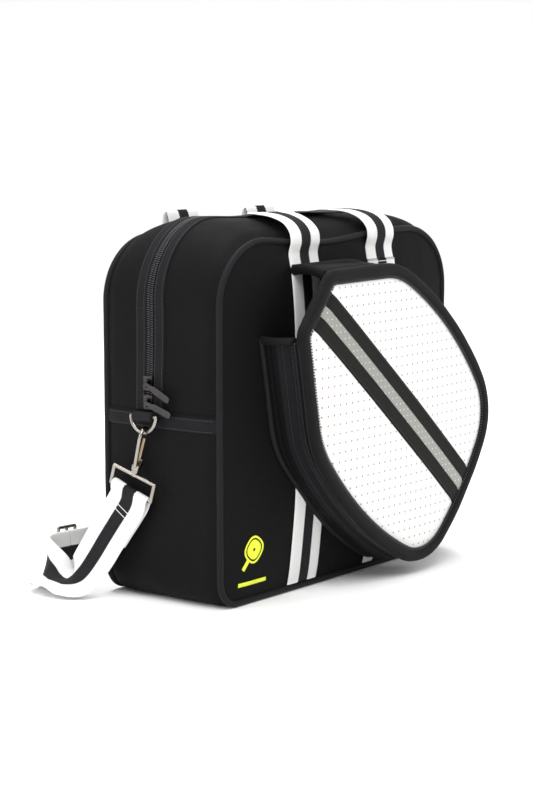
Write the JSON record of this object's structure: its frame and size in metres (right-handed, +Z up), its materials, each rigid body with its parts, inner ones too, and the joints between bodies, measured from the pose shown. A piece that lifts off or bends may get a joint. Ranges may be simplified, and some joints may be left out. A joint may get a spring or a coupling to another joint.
{
  "type": "paddle case",
  "caption": "Soft zipped tote with a padded paddle case on its front, striped webbing, carry handles, and a clip-on shoulder strap.",
  "frame": {"origin": "on the ground under the middle of the bag's base", "axes": "+X across the bag to the right as seen from the paddle case's side, -Y out of the front that carries the paddle case, +Z up"},
  "size_m": [0.4086, 0.2334, 0.3072],
  "materials": {
    "neoprene": "matte black laminated neoprene",
    "piping": "black piping with a soft sheen",
    "tape": "black woven and stitched tape",
    "teeth": "black nylon coil",
    "slider_metal": "black lacquered metal",
    "gunmetal": "dark nickel plating",
    "striped_webbing": "white webbing with a black stripe",
    "binding": "black woven binding",
    "white_face": "white perforated neoprene",
    "black_stripe": "black twill stripe",
    "silver_stripe": "silver grey perforated leatherette",
    "board": "grey plastic stiffening board",
    "print": "yellow print"
  },
  "bodies": {
    "bag": {"front_panel": "neoprene", "back_panel_lower": "neoprene", "lower_gusset": "neoprene", "front_upper_gusset": "neoprene", "front_piping": "piping", "back_piping_lower": "piping", "front_seam_binding": "binding", "base_board": "board", "front_zip_tape": "tape", "front_zip_teeth": "teeth", "left_end_tape": "tape", "right_end_tape": "tape", "left_ring_tab": "tape", "right_ring_tab": "tape", "shoulder_strap": "striped_webbing", "front_webbings": "striped_webbing", "back_webbings_lower": "striped_webbing", "case_base_piping": "piping", "case_rear_gusset": "neoprene", "case_rear_teeth": "teeth", "case_mouth_binding": "binding", "emblem": "print"},
    "back_flap": {"back_panel_upper": "neoprene", "back_upper_gusset": "neoprene", "back_piping_upper": "piping", "back_zip_tape": "tape", "back_zip_teeth": "teeth", "back_webbings_upper": "striped_webbing"},
    "case_cover": {"case_front_teeth": "teeth", "case_front_gusset": "neoprene", "case_face": "white_face", "case_binding": "binding", "case_black_stripe": "black_stripe", "case_silver_stripe": "silver_stripe"},
    "upper_slider": {"upper_zip_slider": "slider_metal"},
    "lower_slider": {"lower_zip_slider": "slider_metal"},
    "upper_pull": {"upper_zip_pull": "slider_metal"},
    "lower_pull": {"lower_zip_pull": "slider_metal"},
    "left_ring": {"left_d_ring": "gunmetal", "left_strap_loop": "gunmetal"},
    "right_ring": {"right_d_ring": "gunmetal", "right_strap_loop": "gunmetal"},
    "left_hook_body": {"left_hook": "gunmetal"},
    "right_hook_body": {"right_hook": "gunmetal"},
    "left_gate": {"left_hook_gate": "gunmetal"},
    "right_gate": {"right_hook_gate": "gunmetal"},
    "adjuster": {"strap_adjuster": "gunmetal"},
    "front_carry_handle": {"front_handle": "striped_webbing"},
    "back_carry_handle": {"back_handle": "striped_webbing"},
    "case_slider": {"case_zip_slider": "slider_metal"},
    "case_pull": {"case_zip_pull": "slider_metal"}
  },
  "joints": [
    {"name": "main_opening", "type": "hinge", "parent": "bag", "child": "back_flap", "pos_m": [0, 0.0622, 0.152], "axis": [-1, 0, 0], "range_deg": [0, 35]},
    {"name": "case_opening", "type": "hinge", "parent": "bag", "child": "case_cover", "pos_m": [0.08615, -0.094, 0.22325], "axis": [-0.7716, 0, 0.6361], "range_deg": [0, 115]},
    {"name": "upper_slider_travel", "type": "slide", "parent": "bag", "child": "upper_slider", "axis": [0, 0, 1], "range_m": [0, 0.055]},
    {"name": "lower_slider_travel", "type": "slide", "parent": "bag", "child": "lower_slider", "axis": [0, 0, 1], "range_m": [0, 0.0035]},
    {"name": "upper_pull_lift", "type": "hinge", "parent": "upper_slider", "child": "upper_pull", "pos_m": [-0.163, 0.008, 0.1735], "axis": [0, 0.4384, -0.8988], "range_deg": [0, 100]},
    {"name": "lower_pull_lift", "type": "hinge", "parent": "lower_slider", "child": "lower_pull", "pos_m": [-0.163, 0.008, 0.1585], "axis": [0, 0.309, -0.9511], "range_deg": [0, 100]},
    {"name": "left_ring_swing", "type": "hinge", "parent": "bag", "child": "left_ring", "pos_m": [-0.16638, 0.008, 0.148], "axis": [0, 1, 0], "range_deg": [0, 45]},
    {"name": "left_hook_swivel", "type": "hinge", "parent": "left_ring", "child": "left_hook_body", "pos_m": [-0.16638, 0.008, 0.1355], "axis": [0, -0.2756, 0.9613], "range_deg": [-8, 8]},
    {"name": "left_gate_press", "type": "hinge", "parent": "left_hook_body", "child": "left_gate", "pos_m": [-0.16249, 0.0164, 0.1119], "axis": [0.3746, -0.8913, -0.2556], "range_deg": [0, 20], "stiffness_Nm_per_rad": 0.02, "springref_deg": -17.19},
    {"name": "right_ring_swing", "type": "hinge", "parent": "bag", "child": "right_ring", "pos_m": [0.16638, 0.008, 0.148], "axis": [0, -1, 0], "range_deg": [0, 45]},
    {"name": "right_hook_swivel", "type": "hinge", "parent": "right_ring", "child": "right_hook_body", "pos_m": [0.16638, 0.008, 0.1355], "axis": [0, 0.2756, -0.9613], "range_deg": [-8, 8]},
    {"name": "right_gate_press", "type": "hinge", "parent": "right_hook_body", "child": "right_gate", "pos_m": [0.16249, 0.0164, 0.1119], "axis": [0.3746, 0.8913, 0.2556], "range_deg": [0, 20], "stiffness_Nm_per_rad": 0.02, "springref_deg": -17.19},
    {"name": "adjuster_travel", "type": "slide", "parent": "bag", "child": "adjuster", "axis": [0.9945, -0.1045, 0], "range_m": [-0.002, 0.012]},
    {"name": "front_handle_lift", "type": "hinge", "parent": "bag", "child": "front_carry_handle", "pos_m": [0, -0.0605, 0.3005], "axis": [1, 0, 0], "range_deg": [0, 100]},
    {"name": "back_handle_lift", "type": "hinge", "parent": "back_flap", "child": "back_carry_handle", "pos_m": [0, 0.0645, 0.3], "axis": [1, 0, 0], "range_deg": [0, 170]},
    {"name": "case_slider_travel", "type": "hinge", "parent": "bag", "child": "case_slider", "pos_m": [0.05125, -0.094, 0.06929], "axis": [0, 1, 0], "range_deg": [0, 50]},
    {"name": "case_pull_lift", "type": "hinge", "parent": "case_slider", "child": "case_pull", "pos_m": [0.08664, -0.094, 0.02271], "axis": [0, -1, 0], "range_deg": [0, 78]}
  ]
}
